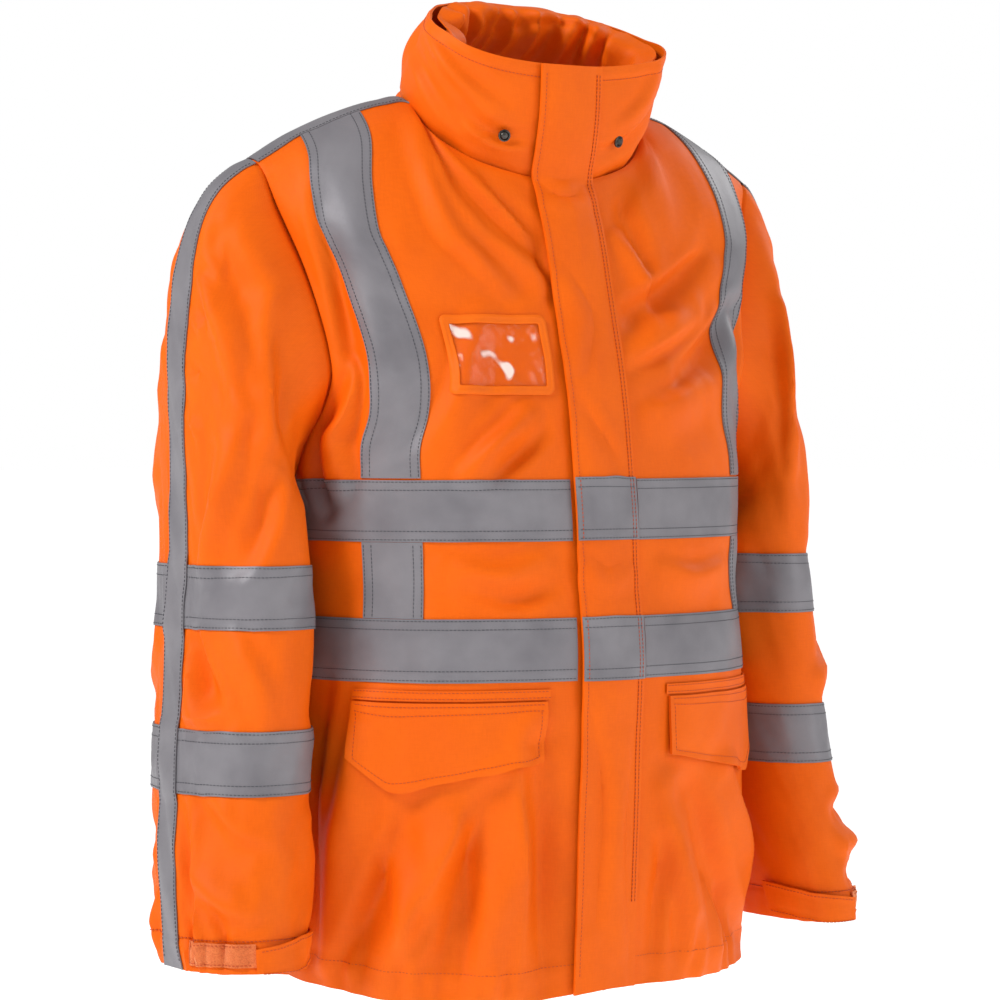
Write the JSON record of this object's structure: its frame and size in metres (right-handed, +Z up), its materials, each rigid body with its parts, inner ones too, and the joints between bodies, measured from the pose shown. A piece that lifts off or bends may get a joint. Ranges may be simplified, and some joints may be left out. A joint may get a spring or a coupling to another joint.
{
  "type": "hi-vis work jacket",
  "caption": "Hip-length waterproof work jacket in worn form, with reflective tapes, a storm flap over the zip, a tall collar and flap pockets.",
  "frame": {"origin": "between the wearer's shoulders, at the foot of the collar, 700 mm above the lowest point of the hem", "axes": "+Z up, -Y out of the front, +X to the wearer's left"},
  "size_m": [0.6386, 0.3212, 0.8106],
  "materials": {
    "cloth": "satin",
    "tape": "satin",
    "metal": "satin",
    "window": "gloss"
  },
  "bodies": {
    "jacket": {"front_right": "cloth", "front_left": "cloth", "back": "cloth", "sleeve_right": "cloth", "sleeve_left": "cloth", "collar": "cloth", "hood_roll": "cloth", "storm_flap": "cloth", "pocket_flap_right": "cloth", "pocket_flap_left": "cloth", "pocket_welt_right": "cloth", "pocket_welt_left": "cloth", "pass_frame": "cloth", "cuff_tab_right": "cloth", "cuff_tab_left": "cloth", "cuff_strip_right": "cloth", "cuff_strip_left": "cloth", "zip": "cloth", "chest_band_front_right": "tape", "chest_band_front_left": "tape", "chest_band_flap": "tape", "chest_band_back": "tape", "belly_band_front_right": "tape", "belly_band_front_left": "tape", "belly_band_flap": "tape", "belly_band_back": "tape", "brace_front_right": "tape", "brace_front_left": "tape", "brace_short_right": "tape", "brace_short_left": "tape", "brace_back_right": "tape", "brace_back_left": "tape", "brace_short_back_right": "tape", "brace_short_back_left": "tape", "shoulder_stripe_right": "tape", "shoulder_stripe_left": "tape", "sleeve_stripe_right": "tape", "sleeve_stripe_left": "tape", "sleeve_band_upper_right": "tape", "sleeve_band_upper_left": "tape", "sleeve_band_lower_right": "tape", "sleeve_band_lower_left": "tape", "snap_right": "metal", "snap_left": "metal", "zip_slider": "metal", "pass_window": "window"},
    "zip_pull": {"zip_pull": "metal"}
  },
  "joints": [
    {"name": "pull_swing", "type": "hinge", "parent": "jacket", "child": "zip_pull", "pos_m": [0, -0.1446, -0.68], "axis": [1, 0, 0], "range_deg": [-10, 12]}
  ]
}
